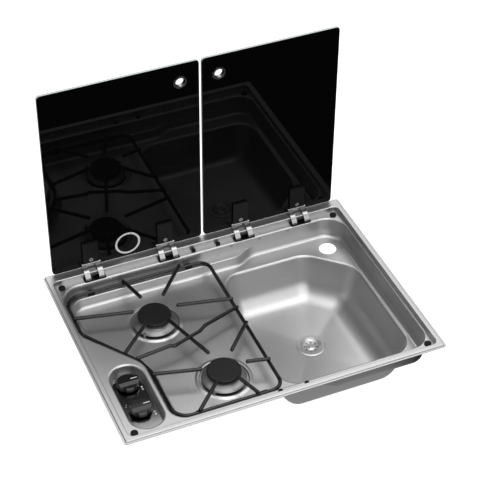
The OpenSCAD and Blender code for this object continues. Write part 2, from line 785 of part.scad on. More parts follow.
// The frame wire closes with a short weld sleeve at the middle of the front.
weld_x = -90;
weld_len = 5;
module support_frame() {
  p = frame_path;
  for (i = [0:6]) wire_bend(p, i, frame_z);
  for (i = [0:5]) rod(end_i(p, i), start_i(p, i + 1), frame_z, -bite, -bite);
  rod(end_i(p, 6), [weld_x, on_front], frame_z, -bite, weld_len / 4);
  rod([weld_x, on_front], start_i(p, 0), frame_z, weld_len / 4, -bite);
  translate([weld_x - weld_len / 2, on_front, frame_z]) rotate([0, 90, 0])
    cylinder(r = wire_r + 0.2, h = weld_len);
}

module support_fingers() {
  for (f = fingers) finger(f);
  for (p = short_fingers)
    round_rod(cross_at, past(cross_at, p), finger_top_z, wire_r + butt_gap, false);
}

foot_at = [[-222, on_back], [-30, on_back], [-150, on_front], [-30, on_front]];
module pan_foot() {
  difference() {
    box(-6, 6, -4.4, 4.4, ledge_z, frame_z + 2);
    translate([-10, 0, frame_z]) rotate([0, 90, 0]) cylinder(r = wire_r, h = 20);
  }
}

// Burner set, centred on its own axis.
dish_z = floor_z - dish_depth;
head_z = -44.4;
cap_under = cap_z - 6;
cup_z = -78;

module burner_base() {
  r = base_d / 2;
  difference() {
    rotate_extrude() polygon([[14, head_z], [27.5, head_z], [30, head_z - 1.6], [38, -49],
      [r, -50.6], [r, -52], [37, -52], [35.6, -53.4], [35.6, -55.6], [38.5, -55.6],
      [38.5, dish_z], [34, dish_z], [34, cup_z], [5, cup_z], [5, cup_z + 3], [31, cup_z + 3],
      [31, -53], [24, -48.4], [14, -48.4]]);
    translate([couple_off[0], couple_off[1], -100]) cylinder(r = couple_r + 0.5, h = 80);
  }
}

module burner_head() {
  difference() {
    rotate_extrude() polygon([[0, cap_under - 2], [0, cap_under], [25, cap_under],
      [28, cap_under], [28, head_z], [25, head_z], [25, cap_under - 2]]);
    for (k = [0:flame_slots - 1]) rotate([0, 0, k * 360 / flame_slots])
      translate([22, -0.7, head_z + 1.4]) cube([10, 1.4, 3.2]);
  }
  ring(11, 13.7, head_z - 5, cap_under - 1.5);
}

module burner_cap() {
  r = cap_d / 2;
  round_r = 2.5;
  difference() {
    rotate_extrude() {
      translate([0, cap_under]) square([r - round_r, cap_z - cap_under]);
      translate([0, cap_under]) square([r, cap_z - cap_under - round_r]);
      quarter(r - round_r, cap_z - round_r, 0, round_r, 1, 1);
    }
    for (a = [135, 315]) rotate([0, 0, a]) translate([24.5, 0, cap_z + 1.2]) sphere(r = 2.4);
  }
}

module injector() {
  translate([-6, -6, -90]) cube([12, 12, 90 + cup_z]);
  translate([0, 0, cup_z]) cylinder(r = 5, h = 8);
  translate([0, 0, cup_z + 8]) cylinder(r = 3, h = 3);
}

module thermocouple() {
  translate([couple_off[0], couple_off[1], 0]) {
    disc(couple_r, -66, -44);
    disc(1.6, -44, -41.5);
  }
}

// Knobs and gas taps, centred on the knob axis.
knob_z0 = knob_top - 12.7;
shaft_r = 4;
shaft_flat = 2.6;
module knob() {
  r = knob_d / 2;
  bar_w = 11;
  difference() {
    union() {
      disc(r - 1, knob_z0, knob_z0 + 1);
      disc(r, knob_z0 + 1, knob_top - 6.5);
      translate([0, 0, knob_top - 6.5]) cylinder(r1 = r, r2 = r - 2.2, h = 2);
      intersection() {
        disc(r - 0.6, knob_top - 8, knob_top);
        union() {
          box(-r, r, -bar_w / 2, bar_w / 2, knob_top - 8, knob_top);
          translate([0, 0, knob_top - 4.5]) rotate([90, 0, 90]) translate([0, 0, -r])
            linear_extrude(2 * r) polygon([[-bar_w / 2 - 5, 0], [bar_w / 2 + 5, 0],
              [bar_w / 2, 4.5], [-bar_w / 2, 4.5]]);
        }
      }
    }
    ring(7.5, r - 2, knob_z0 - 1, knob_z0 + 4);
    difference() {
      disc(shaft_r, knob_z0 - 1, knob_top - 4);
      box(-shaft_r, shaft_r, shaft_flat, shaft_r + 1, knob_z0 - 2, knob_top);
    }
  }
}

pin_top = -70;
module tap_shaft() {
  difference() {
    disc(shaft_r, pin_top, knob_top - 4);
    box(-shaft_r - 1, shaft_r + 1, shaft_flat, shaft_r + 2, -44, knob_top);
  }
}

module tap_pin() {
  disc(2.4, pin_top - 10, pin_top);
}

tap_top = panel_z - 2.5;
module gas_tap() {
  difference() {
    union() {
      disc(8.5, -46, tap_top);
      box(-11, 11, -11, 11, -90, -46);
      translate([11, 0, -84]) rotate([0, 90, 0]) cylinder(r = 5, h = 5);
    }
    disc(shaft_r + pin_gap, pin_top - 4, 0);
    disc(2.45, pin_top - 14.5, pin_top);
  }
}

module knob_panel() {
  difference() {
    slab(inset(path_well, -3), panel_z - 2.5, panel_z);
    for (y = [knob_rear_y, knob_front_y]) at(knob_x, y) disc(6, panel_z - 5, panel_z + 5);
  }
}

rail_x = knob_x - 22;
gas_z = -84;
inlet_y = 40;
rail_y0 = knob_front_y - 6;
rail_y1 = -45;
rail_r = 6;
inlet_r = 4;
module gas_rail() {
  translate([rail_x, rail_y0, gas_z]) rotate([-90, 0, 0]) cylinder(r = rail_r, h = rail_y1 - rail_y0);
  translate([rail_x, rail_y1, gas_z]) rotate([-90, 0, 0]) cylinder(r = inlet_r, h = inlet_y - rail_y1);
  for (y = [knob_rear_y, knob_front_y]) translate([rail_x, y, gas_z]) rotate([0, 90, 0])
    cylinder(r = 4.5, h = knob_x - 11 - rail_x);
}

pipe_r = 3;
module gas_pipe(x0, y0, x1, y1) {
  s = y1 > y0 ? 1 : -1;
  bend_r = 12;
  translate([x0, y0, gas_z]) rotate([0, 90, 0]) cylinder(r = pipe_r, h = x1 - x0 - bend_r);
  translate([x1 - bend_r, y0 + bend_r, gas_z]) rotate([0, 0, -90])
    rotate_extrude(angle = 90) translate([bend_r, 0]) circle(pipe_r);
  translate([x1, y0 + bend_r, gas_z]) rotate([-90, 0, 0])
    cylinder(r = pipe_r, h = y1 - y0 - bend_r);
}

// Waste, centred on the drain.
waste_z = -drain_depth;
module drain_flange() {
  r = drain_d / 2;
  well_r = strainer_d / 2 + 0.3;
  rotate_extrude() polygon([[21.2, waste_z - 16], [22, waste_z - 16], [22, waste_z + 0.3],
    [r, waste_z + 0.3], [r, waste_z + 1.2], [r - 2, waste_z + 1.9], [well_r + 1, waste_z + 1.7],
    [well_r, waste_z + 1], [well_r, waste_z - 4.2], [15.4, waste_z - 4.2],
    [15.4, waste_z - 5.4], [21.2, waste_z - 5.4]]);
}

module drain_strainer() {
  r = strainer_d / 2;
  difference() {
    rotate_extrude() polygon([[0, waste_z + 1], [3, waste_z + 1], [4.5, waste_z - 0.6],
      [9, waste_z - 2], [15, waste_z - 1.2], [r - 1.2, waste_z + 1], [r, waste_z + 1],
      [r, waste_z], [18, waste_z - 4.2], [15.8, waste_z - 4.2], [9, waste_z - 3.4],
      [0, waste_z - 3.4]]);
    for (k = [0:7]) rotate([0, 0, k * 45 + 22.5]) translate([11.8, 0, waste_z - 8])
      cylinder(r = 1.6, h = 12);
  }
}

module waste_washer() {
  ring(22.1, drain_d / 2 + 2, waste_z - 3, waste_z - 1);
}

cup_h = 21;
tail_h = 30;
module waste_body() {
  cup_top = waste_z - 3;
  difference() {
    union() {
      disc(drain_d / 2 + 3, cup_top - cup_h, cup_top);
      disc(tail_d / 2, cup_top - cup_h - tail_h, cup_top - cup_h);
    }
    disc(22, cup_top - cup_h + 6, waste_z);
    disc(tail_d / 2 - 2.25, cup_top - cup_h - tail_h - 1, waste_z);
  }
}

module show(c) {
  color(c) translate([0, 0, rim_height]) children();
}

show(steel) sink_top();
show(steel) hob_tray();
show(steel) sink_bowl();
show(rubber) rim_seal();
show(glass_c) glass(left_x0, left_x1, finger_left_x, hinge_xs_left);  // left_glass
show(glass_c) glass(right_x0, right_x1, finger_right_x, hinge_xs_right);  // right_glass
show(chrome) grommet(finger_left_x);  // left_grommet
show(chrome) grommet(finger_right_x);  // right_grommet
show(chrome) at_hinges(hinge_xs_left) arm_pair();  // left_hinge_arms
show(chrome) at_hinges(hinge_xs_right) arm_pair();  // right_hinge_arms
show(black) at_hinges(hinge_xs_left) hinge_cover();  // left_hinge_covers
show(black) at_hinges(hinge_xs_right) hinge_cover();  // right_hinge_covers
show(chrome) at_hinges(hinge_xs_left) hinge_screw();  // left_hinge_screws
show(chrome) at_hinges(hinge_xs_right) hinge_screw();  // right_hinge_screws
show(black) at_hinges(hinge_xs) hinge_insert();  // hinge_inserts
show(steel) at_hinges(hinge_xs) hinge_box();  // hinge_boxes
show(chrome) at_hinges(hinge_xs) hinge_pin();  // hinge_pins
show(chrome)  // hinge_rivets
  for (x = hinge_xs) for (s = [-1, 1]) translate([x + s * rivet_dx, 0, 0]) rivet();
show(rubber)  // corner_bumpers
  for (p = corner_bumper_at) translate([p[0], p[1], deck_z]) bumper(6.5, 3);
show(rubber)  // edge_bumpers
  for (p = edge_bumper_at) translate([p[0], p[1], deck_z]) bumper(4.2, 4.2);
show(black) support_frame();  // pan_support_frame
show(black) support_fingers();  // pan_support_fingers
show(black) finger(cross_wire);  // pan_support_crossbar
show(rubber)  // pan_support_feet
  for (p = foot_at) at(p[0], p[1]) pan_foot();
show(alu) at(rear_x, rear_y) burner_base();  // rear_burner_base
show(alu) at(rear_x, rear_y) burner_head();  // rear_burner_head
show(black) at(rear_x, rear_y) burner_cap();  // rear_burner_cap
show(brass) at(rear_x, rear_y) injector();  // rear_injector
show(brass) at(rear_x, rear_y) thermocouple();  // rear_thermocouple
show(alu) at(front_x, front_y) burner_base();  // front_burner_base
show(alu) at(front_x, front_y) burner_head();  // front_burner_head
show(black) at(front_x, front_y) burner_cap();  // front_burner_cap
show(brass) at(front_x, front_y) injector();  // front_injector
show(brass) at(front_x, front_y) thermocouple();  // front_thermocouple
show(black) knob_panel();
show(black) at(knob_x, knob_rear_y) knob();  // rear_knob
show(alu) at(knob_x, knob_rear_y) tap_shaft();  // rear_tap_shaft
show(brass) at(knob_x, knob_rear_y) tap_pin();  // rear_tap_pin
show(brass) at(knob_x, knob_rear_y) gas_tap();  // rear_gas_tap
show(black) at(knob_x, knob_front_y) knob();  // front_knob
show(alu) at(knob_x, knob_front_y) tap_shaft();  // front_tap_shaft
show(brass) at(knob_x, knob_front_y) tap_pin();  // front_tap_pin
show(brass) at(knob_x, knob_front_y) gas_tap();  // front_gas_tap
show(alu) gas_rail();
show(alu)  // rear_gas_pipe
  gas_pipe(knob_x + 16, knob_rear_y, rear_x, rear_y - 6);
show(alu)  // front_gas_pipe
  gas_pipe(knob_x + 16, knob_front_y, front_x, front_y - 6);
show(steel) at(drain_x, drain_y) drain_flange();
show(steel) at(drain_x, drain_y) drain_strainer();
show(rubber) at(drain_x, drain_y) waste_washer();
show(black) at(drain_x, drain_y) waste_body();
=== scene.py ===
# Looks of the hob and sink combination: camera, finishes, printed marks, the pressed bowl, the
# coated wires, the rings round the burners, the ribs of the waste, floor and light.
import json
import math

import bmesh
import bpy
from mathutils import Euler, Matrix, Vector


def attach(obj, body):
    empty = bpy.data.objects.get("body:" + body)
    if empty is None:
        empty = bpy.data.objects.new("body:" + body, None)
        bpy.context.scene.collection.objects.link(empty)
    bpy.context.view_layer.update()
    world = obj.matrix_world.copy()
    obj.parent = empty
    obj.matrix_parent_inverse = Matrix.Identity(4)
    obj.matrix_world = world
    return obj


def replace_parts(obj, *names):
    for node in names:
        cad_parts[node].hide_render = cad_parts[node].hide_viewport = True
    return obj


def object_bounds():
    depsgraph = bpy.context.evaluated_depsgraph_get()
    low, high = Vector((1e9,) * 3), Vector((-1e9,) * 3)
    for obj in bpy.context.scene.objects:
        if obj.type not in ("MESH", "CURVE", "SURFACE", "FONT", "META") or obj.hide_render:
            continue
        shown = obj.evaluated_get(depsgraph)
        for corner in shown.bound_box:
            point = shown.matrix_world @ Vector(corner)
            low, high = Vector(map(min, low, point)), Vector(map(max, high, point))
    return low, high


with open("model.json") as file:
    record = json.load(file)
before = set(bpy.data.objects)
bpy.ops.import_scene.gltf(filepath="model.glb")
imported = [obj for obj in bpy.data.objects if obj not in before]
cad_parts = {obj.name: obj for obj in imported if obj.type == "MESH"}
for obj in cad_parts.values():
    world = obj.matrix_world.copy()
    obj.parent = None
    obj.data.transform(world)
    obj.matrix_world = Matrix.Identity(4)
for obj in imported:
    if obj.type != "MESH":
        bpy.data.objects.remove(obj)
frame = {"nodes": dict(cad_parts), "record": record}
NODES = frame["nodes"]
cad_low, cad_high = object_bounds()
MM = 0.001
RIM = 4.4  # height of the rim's flat top over the worktop, in mm
WELD = 1e-7  # vertices closer than this, in metres, become one
RIGHT, UP = Vector((1, 0, 0)), Vector((0, 0, 1))


def point(x, y, z):
    """A place given in mm, with z counted from the rim's flat top."""
    return Vector((x * MM, y * MM, (z + RIM) * MM))


# ---------------------------------------------------------------- camera
eye = bpy.data.cameras.new("eye")
eye.sensor_width = 36.0
eye.lens = 118.335
eye.clip_start, eye.clip_end = 0.05, 30.0
camera = bpy.data.objects.new("camera", eye)
bpy.context.scene.collection.objects.link(camera)
camera.location = (-0.81823, -1.89893, 1.93848)
camera.rotation_euler = Euler([math.radians(a) for a in (49.46, -0.31, -23.01)], "XYZ")
bpy.context.scene.camera = camera


# ---------------------------------------------------------------- nodes
def add_node(tree, kind, settings, inputs):
    """A new node; each input is a value or the socket it is linked from."""
    node = tree.nodes.new(kind)
    for key, value in settings.items():
        setattr(node, key, value)
    for key, value in inputs.items():
        if isinstance(value, bpy.types.NodeSocket):
            tree.links.new(value, node.inputs[key])
        else:
            node.inputs[key].default_value = value
    return node


class Signal:
    """A shader socket whose arithmetic adds Math nodes."""

    def __init__(self, sheet, socket):
        self.sheet, self.socket = sheet, socket

    def _math(self, operation, first, second=0.0):
        return self.sheet.add("ShaderNodeMath", {"operation": operation}, {0: first, 1: second})

    def __add__(self, other): return self._math("ADD", self, other)
    def __radd__(self, other): return self._math("ADD", other, self)
    def __sub__(self, other): return self._math("SUBTRACT", self, other)
    def __rsub__(self, other): return self._math("SUBTRACT", other, self)
    def __mul__(self, other): return self._math("MULTIPLY", self, other)
    def __abs__(self): return self._math("ABSOLUTE", self)

    def between(self, low, high):
        """0 up to low, 1 from high, smooth in between."""
        return self.sheet.add("ShaderNodeMapRange", {"interpolation_type": "SMOOTHSTEP"},
                              {"Value": self, "From Min": low, "From Max": high})


class Sheet:
    """One shader tree that is filled from Python expressions."""

    def __init__(self, tree):
        self.tree = tree
        tree.nodes.clear()

    def add(self, kind, settings=None, inputs=None, output=0):
        sockets = {key: value.socket if isinstance(value, Signal) else value
                   for key, value in (inputs or {}).items()}
        node = add_node(self.tree, kind, settings or {}, sockets)
        return Signal(self, node.outputs[output] if len(node.outputs) else None)

    def place(self, stretch=None):
        """Object coordinates, stretched if asked."""
        here = self.add("ShaderNodeTexCoord", output="Object")
        if stretch is None:
            return here
        return self.add("ShaderNodeMapping", {}, {"Vector": here, "Scale": stretch})

    def noise(self, scale, detail=3.0, rough=0.55, where=None):
        return self.add("ShaderNodeTexNoise", {"noise_dimensions": "3D"},
                        {"Vector": where or self.place(), "Scale": scale, "Detail": detail,
                         "Roughness": rough}, "Fac")

    def colours(self, mask, first, second):
        """The first colour where mask is 0, the second where it is 1."""
        return self.add("ShaderNodeMix", {"data_type": "RGBA"},
                        {0: mask, 6: (*first, 1), 7: (*second, 1)}, 2)

    def relief(self, height, strength, depth=0.0002):
        return self.add("ShaderNodeBump", {},
                        {"Height": height, "Strength": strength, "Distance": depth})


def finish(name, build):
    """A material whose sockets come from build(sheet), a dict by socket name."""
    material = bpy.data.materials.new(name)
    material.use_nodes = True
    sheet = Sheet(material.node_tree)
    shader = sheet.add("ShaderNodeBsdfPrincipled", {}, build(sheet))
    sheet.add("ShaderNodeOutputMaterial", {}, {"Surface": shader})
    return material


# ---------------------------------------------------------------- finishes
# Noise scales count per metre, and a relief's depth is in metres.
def satin_steel(sheet):
    base = 0.54
    cloud = sheet.noise(5.0, 2.0, 0.5)
    handling = sheet.noise(60.0, 3.0, 0.6)
    grain = sheet.noise(1.0, 2.0, 0.5, sheet.place(stretch=(70.0, 1800.0, 1800.0)))
    return {
        "Base Color": sheet.colours(cloud * 0.6 + handling * 0.4,
                                    (base * 0.97, base * 0.972, base * 0.975),
                                    (base * 1.03, base * 1.03, base * 1.025)),
        "Metallic": 1.0,
        "Roughness": 0.42 + (cloud - 0.5) * 0.04 + (handling - 0.5) * 0.02 + (grain - 0.5) * 0.05,
        "Normal": sheet.relief(grain, 0.02),
    }


def zinc(sheet):
    cloud = sheet.noise(60.0, 4.0, 0.65)
    return {
        "Base Color": sheet.colours(cloud, (0.30, 0.31, 0.32), (0.38, 0.38, 0.375)),
        "Metallic": 1.0,
        "Roughness": 0.24 + cloud * 0.12,
        "Normal": sheet.relief(sheet.noise(900.0), 0.05),
    }


def bright_chrome(sheet):
    smear = sheet.noise(160.0, 3.0, 0.6)
    return {
        "Base Color": sheet.colours(smear, (0.29, 0.29, 0.295), (0.35, 0.35, 0.35)),
        "Metallic": 1.0,
        "Roughness": 0.22 + smear.between(0.45, 0.8) * 0.10,
        "Normal": sheet.relief(sheet.noise(450.0), 0.03),
    }


def lid_glass(sheet):
    """Black glass, polished on its faces and ground along its edges."""
    facing = sheet.add("ShaderNodeTexCoord", output="Normal")
    depth = sheet.add("ShaderNodeSeparateXYZ", {}, {0: facing}, 1)
    edge = 1.0 - abs(depth).between(0.45, 0.7)
    smear = sheet.noise(14.0, 4.0, 0.6)
    ground = sheet.noise(700.0, 3.0, 0.6)
    return {
        "Base Color": sheet.colours(edge, (0.0024, 0.0024, 0.0025), (0.52, 0.55, 0.55)),
        "Roughness": 0.012 + smear.between(0.45, 0.85) * 0.03 + edge * (0.30 + ground * 0.2),
        "IOR": 1.50,
        "Specular IOR Level": 0.1,
        "Normal": sheet.relief(ground * edge, 0.2, 0.0003),
    }


def moulded_black(sheet, rough=0.34, base=0.005, pore=900.0, gloss=0.16):
    spark = sheet.noise(pore, 3.0, 0.7)
    cloud = sheet.noise(45.0, 3.0, 0.6)
    return {
        "Base Color": sheet.colours(cloud, (base, base, base * 1.03),
                                    (base * 1.6, base * 1.6, base * 1.6)),
        "Roughness": rough + (cloud - 0.5) * 0.10 + (spark - 0.5) * 0.08,
        "Specular IOR Level": gloss,
        "Normal": sheet.relief(spark, 0.12),
    }


def knob_black(sheet):
    """The same plastic from a polished mould."""
    return moulded_black(sheet, rough=0.17, base=0.007, pore=1400.0, gloss=0.6)


def black_rubber(sheet):
    dust = sheet.noise(120.0, 5.0, 0.7)
    return {
        "Base Color": sheet.colours(dust, (0.006, 0.006, 0.006), (0.018, 0.018, 0.0175)),
        "Roughness": 0.62 + dust * 0.2,
        "Specular IOR Level": 0.1,
        "Normal": sheet.relief(sheet.noise(1300.0), 0.2),
    }


def foam_rubber(sheet):
    cell = sheet.add("ShaderNodeTexVoronoi", {"feature": "F1"},
                     {"Vector": sheet.place(), "Scale": 1100.0})
    return {
        "Base Color": sheet.colours(cell, (0.05, 0.05, 0.05), (0.018, 0.018, 0.018)),
        "Roughness": 0.85,
        "Normal": sheet.relief(cell, 0.5, 0.0004),
    }


def black_enamel(sheet):
    peel = sheet.noise(420.0, 2.0, 0.5)
    cloud = sheet.noise(70.0, 3.0, 0.6)
    return {
        "Base Color": sheet.colours(cloud, (0.005, 0.005, 0.0055), (0.011, 0.011, 0.0115)),
        "Roughness": 0.11 + (cloud - 0.5) * 0.06,
        "Specular IOR Level": 0.4,
        "Normal": sheet.relief(peel, 0.03),
    }


def cap_enamel(sheet):
    """Matt enamel with a few pale specks."""
    speck = sheet.noise(1500.0, 2.0, 0.6)
    cloud = sheet.noise(80.0, 3.0, 0.6)
    return {
        "Base Color": sheet.colours(speck.between(0.60, 0.72), (0.009, 0.009, 0.0095),
                                    (0.04, 0.04, 0.041)),
        "Roughness": 0.40 + cloud * 0.12,
        "Specular IOR Level": 0.25,
        "Normal": sheet.relief(speck, 0.15),
    }


def cast_aluminium(sheet):
    skin = sheet.noise(650.0, 4.0, 0.7)
    cloud = sheet.noise(50.0, 3.0, 0.6)
    return {
        "Base Color": sheet.colours(cloud, (0.25, 0.25, 0.255), (0.32, 0.32, 0.32)),
        "Metallic": 1.0,
        "Roughness": 0.36 + cloud * 0.12 + skin * 0.08,
        "Normal": sheet.relief(skin, 0.18, 0.0003),
    }


def gas_brass(sheet):
    turned = sheet.noise(1.0, 2.0, 0.5, sheet.place(stretch=(300.0, 300.0, 3000.0)))
    cloud = sheet.noise(90.0, 4.0, 0.65)
    return {
        "Base Color": sheet.colours(cloud, (0.62, 0.46, 0.20), (0.80, 0.64, 0.34)),
        "Metallic": 1.0,
        "Roughness": 0.22 + cloud * 0.16,
        "Normal": sheet.relief(turned, 0.10),
    }


def dark_panel(sheet):
    grain = sheet.noise(1.0, 2.0, 0.5, sheet.place(stretch=(120.0, 2400.0, 2400.0)))
    cloud = sheet.noise(30.0, 3.0, 0.6)
    return {
        "Base Color": sheet.colours(cloud, (0.22, 0.22, 0.223), (0.26, 0.26, 0.26)),
        "Metallic": 1.0,
        "Roughness": 0.12 + (grain - 0.5) * 0.04 + (cloud - 0.5) * 0.05,
        "Normal": sheet.relief(grain, 0.03),
    }


def white_print(sheet):
    ink = sheet.noise(900.0, 3.0, 0.6)
    return {
        "Base Color": sheet.colours(ink, (0.74, 0.74, 0.74), (0.84, 0.84, 0.83)),
        "Roughness": 0.42 + ink * 0.1,
    }


def pale_floor(sheet):
    return {
        "Base Color": sheet.colours(sheet.noise(2.0), (0.40, 0.40, 0.40), (0.42, 0.42, 0.42)),
        "Roughness": 0.9,
        "Emission Color": (1.0, 1.0, 1.0, 1.0),
        "Emission Strength": 0.92,
    }


FINISHES = {
    "pressed_steel": finish("satin_steel", satin_steel),
    "plain_steel": finish("zinc_plate", zinc),
    "bright_metal": finish("bright_chrome", bright_chrome),
    "lid_glass": finish("lid_glass", lid_glass),
    "black_plastic": finish("moulded_black", moulded_black),
    "knob_plastic": finish("knob_black", knob_black),
    "black_rubber": finish("black_rubber", black_rubber),
    "seal_rubber": finish("foam_rubber", foam_rubber),
    "black_enamel": finish("wire_enamel", black_enamel),
    "cast_aluminium": finish("cast_aluminium", cast_aluminium),
    "tap_brass": finish("gas_brass", gas_brass),
    "panel_black": finish("dark_panel", dark_panel),
}
CAP = finish("cap_enamel", cap_enamel)
PRINT = finish("white_print", white_print)

slot_of = {s["node"]: s["material_slot"] for s in frame["record"]["subparts"]}
for name, obj in NODES.items():
    material = CAP if name.endswith("burner_cap") else FINISHES[slot_of[name]]
    obj.data.materials.clear()
    obj.data.materials.append(material)


# ---------------------------------------------------------------- mesh helpers
def new_object(name, mesh, material, body):
    obj = bpy.data.objects.new(name, mesh)
    bpy.context.scene.collection.objects.link(obj)
    mesh.materials.clear()
    mesh.materials.append(material)
    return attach(obj, body)


def store(bm, mesh):
    """Welds the drawing, turns its faces outward and puts it into mesh."""
    bmesh.ops.remove_doubles(bm, verts=bm.verts, dist=WELD)
    bmesh.ops.recalc_face_normals(bm, faces=bm.faces)
    bm.to_mesh(mesh)
    bm.free()


def solid(name, build, material, body):
    """A piece drawn by build(bm) with its place in its mesh."""
    bm = bmesh.new()
    build(bm)
    mesh = bpy.data.meshes.new(name)
    store(bm, mesh)
    return new_object(name, mesh, material, body)


def smooth(obj):
    obj.data.polygons.foreach_set("use_smooth", [True] * len(obj.data.polygons))


def skin(bm, rows, closed=True):
    """Faces from each ring of vertices to the next; closed joins the last ring to the first."""
    width = len(rows[0])
    for here, there in zip(rows, rows[1:] + rows[:1] if closed else rows[1:]):
        for k in range(width):
            bm.faces.new((here[k], here[(k + 1) % width], there[(k + 1) % width], there[k]))


def annulus(bm, centre, across, up, r_in, r_out, thick, steps=64):
    """A flat ring with bevelled edges, thick mm proud towards across x up; radii in mm."""
    out = across.cross(up)
    bevel = 0.2 * (r_out - r_in)
    turns = [2 * math.pi * k / steps for k in range(steps)]
    rows = []
    for r, h in ((r_in, 0.0), (r_in + bevel, 1.0), (r_out - bevel, 1.0), (r_out, 0.0)):
        rows.append([bm.verts.new(centre + (across * math.cos(a) + up * math.sin(a)) * r * MM
                                  + out * h * thick * MM) for a in turns])
    skin(bm, rows)


# ---------------------------------------------------------------- printed marks
LID_FACE = 216.3  # y of the open lids' front face
LID_RING = point(-134.4, LID_FACE, 32.0)
RING_IN, RING_OUT, PAINT = 20.4, 24.5, 0.05  # radii and thickness of the ring on the lid
KNOB_X = -241.5
KNOBS = {"rear": -73.0, "front": -136.0}  # y of each knob's axis
BAR_TOP = -12.8  # height of the top of a knob's bar
LINE_IN, LINE_PROUD = 0.2, 0.06  # how deep the white line is let in and how far it stands out

solid("left_lid_ring_mark",
      lambda bm: annulus(bm, LID_RING, RIGHT, UP, RING_IN, RING_OUT, PAINT),
      PRINT, "left_lid")


def pointer(bm, y):
    """White line let into the top of a knob's bar, rounded at both ends."""
    r, start, end, steps = 0.7, KNOB_X + 5.2, KNOB_X + 17.0, 10
    outline = []
    for x, first in ((end - r, -90), (start + r, 90)):
        turns = [math.radians(first + 180 * k / steps) for k in range(steps + 1)]
        outline += [(x + r * math.cos(a), y + r * math.sin(a)) for a in turns]
    low = [bm.verts.new(point(px, py, BAR_TOP - LINE_IN)) for px, py in outline]
    top = [bm.verts.new(point(px, py, BAR_TOP + LINE_PROUD)) for px, py in outline]
    bm.faces.new(top)
    bm.faces.new(low[::-1])
    skin(bm, [low, top], closed=False)


for word, y in KNOBS.items():
    solid(f"{word}_knob_pointer", lambda bm, y=y: pointer(bm, y),
          PRINT, f"{word}_control")


# ---------------------------------------------------------------- bowl
# Corners of the bowl's opening as x, y and radius, from the front right one round by the back.
BOWL_CORNERS = [(275.6, -162.0, 43.0), (275.6, 83.8, 55.0), (198.6, 154.2, 55.0),
                (16.6, 154.2, 43.0), (16.6, -162.0, 43.0)]
WALL_LEAN = (0.5, 1.0, 1.0, 1.0, 0.6)  # each wall's share of the lean, from the front by the right
WALL_TILT = math.radians(13.65)  # the full lean
TRAY_FLOOR = -54.8
LIP = 5.5  # radius from the tray's floor into the wall
FOOT = (23.8, -135.0)  # inward from the opening and height where wall and floor would meet
FOOT_ROUND = 46  # radius from the wall into the floor
CORNER_HOLD, CORNER_SHRINK = 4, 0.55  # past CORNER_HOLD mm inward a radius shrinks at this rate
SHEET = 0.9  # thickness of the steel
DRAIN = (143.8, -2.7, -141.7)
DRAIN_EDGE = 24.5  # radius of the bowl's edge round the drain
ARC_STEPS, SIDE_POINTS, FLOOR_ROWS = 12, 3, 6


def bowl_outline(deep):
    """The bowl's rounded outline, drawn in by deep mm; its corners open out on the way down."""
    count = len(BOWL_CORNERS)
    corners, starts, ends, out = [], [], [], []
    for i, (x, y, r) in enumerate(BOWL_CORNERS):
        here = Vector((x, y))
        coming = (here - Vector(BOWL_CORNERS[i - 1][:2])).normalized()
        going = (Vector(BOWL_CORNERS[(i + 1) % count][:2]) - here).normalized()
        inward = Vector((-coming.y, coming.x))
        turn = math.atan2(coming.cross(going), coming.dot(going))
        before, after = [deep if deep < LIP else LIP + (deep - LIP) * WALL_LEAN[k]
                         for k in (i, (i + 1) % count)]
        along = (before * math.cos(turn) - after) / math.sin(turn)
        here = here + inward * before + coming * along
        if deep < CORNER_HOLD:
            r = r - deep
        else:
            r = r - CORNER_HOLD - CORNER_SHRINK * (deep - CORNER_HOLD)
        reach = r * math.tan(turn / 2)
        starts.append(here - coming * reach)
        ends.append(here + going * reach)
        corners.append((starts[-1] + inward * r, turn))
    for i, (centre, turn) in enumerate(corners):
        out += [centre + Matrix.Rotation(turn * k / ARC_STEPS, 2) @ (starts[i] - centre)
                for k in range(ARC_STEPS + 1)]
        following = starts[(i + 1) % count]
        out += [ends[i].lerp(following, k / (SIDE_POINTS + 1)) for k in range(1, SIDE_POINTS + 1)]
    return out


def bowl_section(under):
    """(inward, height) down the side, under mm behind the seen face: lip, wall, wide curve."""
    def bent(cx, cz, r, a0, a1, steps):
        turns = [a0 + (a1 - a0) * k / steps for k in range(steps + 1)]
        return [(cx + r * math.cos(a), cz + r * math.sin(a)) for a in turns]

    def tangent_arc(corner, r, a0, a1, steps):
        reach = r * math.tan((a1 - a0) / 2)
        cx = corner[0] - reach * math.sin(a0) + r * math.cos(a0)
        cz = corner[1] + reach * math.cos(a0) + r * math.sin(a0)
        return bent(cx, cz, r + under, math.pi + a0, math.pi + a1, steps)

    level = math.pi / 2
    return (bent(0, TRAY_FLOOR - LIP, LIP - under, level, WALL_TILT, 7)
            + tangent_arc(FOOT, FOOT_ROUND, WALL_TILT, level, 18))


def bowl_drain_ring(z):
    """The edge round the drain, with as many points as the outline and facing the same corners."""
    centre, fan = Vector(DRAIN[:2]), math.radians(12)
    headings = [math.atan2(y - centre.y, x - centre.x) for x, y, r in BOWL_CORNERS]
    out = []
    for i, a in enumerate(headings):
        b = headings[(i + 1) % len(headings)]
        while b < a:
            b += 2 * math.pi
        turns = [a + (k / ARC_STEPS - 0.5) * fan for k in range(ARC_STEPS + 1)]
        turns += [a + fan / 2 + (b - a - fan) * k / (SIDE_POINTS + 1)
                  for k in range(1, SIDE_POINTS + 1)]
        out += [centre + Vector((math.cos(w), math.sin(w))) * DRAIN_EDGE for w in turns]
    return [(p.x, p.y, z) for p in out]


